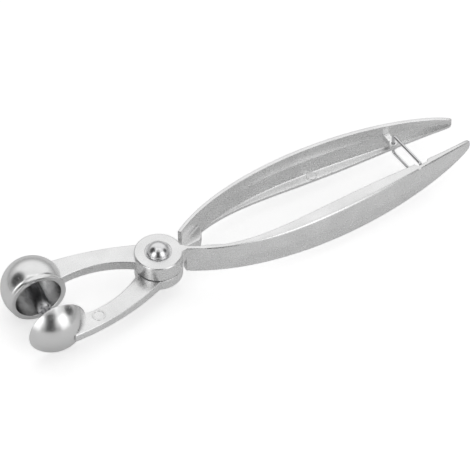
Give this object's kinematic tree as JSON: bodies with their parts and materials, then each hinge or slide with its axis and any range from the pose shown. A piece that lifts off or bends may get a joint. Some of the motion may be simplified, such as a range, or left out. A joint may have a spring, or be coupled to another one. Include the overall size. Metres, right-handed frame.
{
  "type": "olive pitter",
  "caption": "Hand-held lever tool with crossed cast handles, a bell-shaped punch hood, an olive dish and a wire bail that locks it shut.",
  "frame": {"origin": "on the pivot axis, on the flat underside of the lower pivot disc", "axes": "Z is the pivot axis, pointing at the rivet's domed head; X runs along the tool towards the handles' tips; Y goes across it towards the lower lever's handle"},
  "size_m": [0.1762, 0.0406, 0.0224],
  "materials": {
    "cast_lever": "tumbled satin die casting, flats brighter than the channel",
    "polished_jaw": "polished",
    "punch": "turned and bright",
    "rivet": "polished head",
    "washer": "plain rolled",
    "spring": "drawn wire",
    "bail_wire": "bright drawn wire"
  },
  "bodies": {
    "lower_half": {"dish_lever": "cast_lever", "olive_dish": "polished_jaw", "pivot_rivet": "rivet", "hub_washer": "washer", "return_spring": "spring"},
    "upper_half": {"punch_lever": "cast_lever", "punch_hood": "polished_jaw", "stone_punch": "punch"},
    "bail": {"latch_bail": "bail_wire"}
  },
  "joints": [
    {"name": "pivot", "type": "hinge", "parent": "lower_half", "child": "upper_half", "pos_m": [0, 0, 0], "axis": [0, 0, 1], "range_deg": [-24, 0]},
    {"name": "bail_swing", "type": "hinge", "parent": "lower_half", "child": "bail", "pos_m": [0.0981, 0.0069, 0.0052], "axis": [0, 0, 1], "range_deg": [0, 80]}
  ]
}
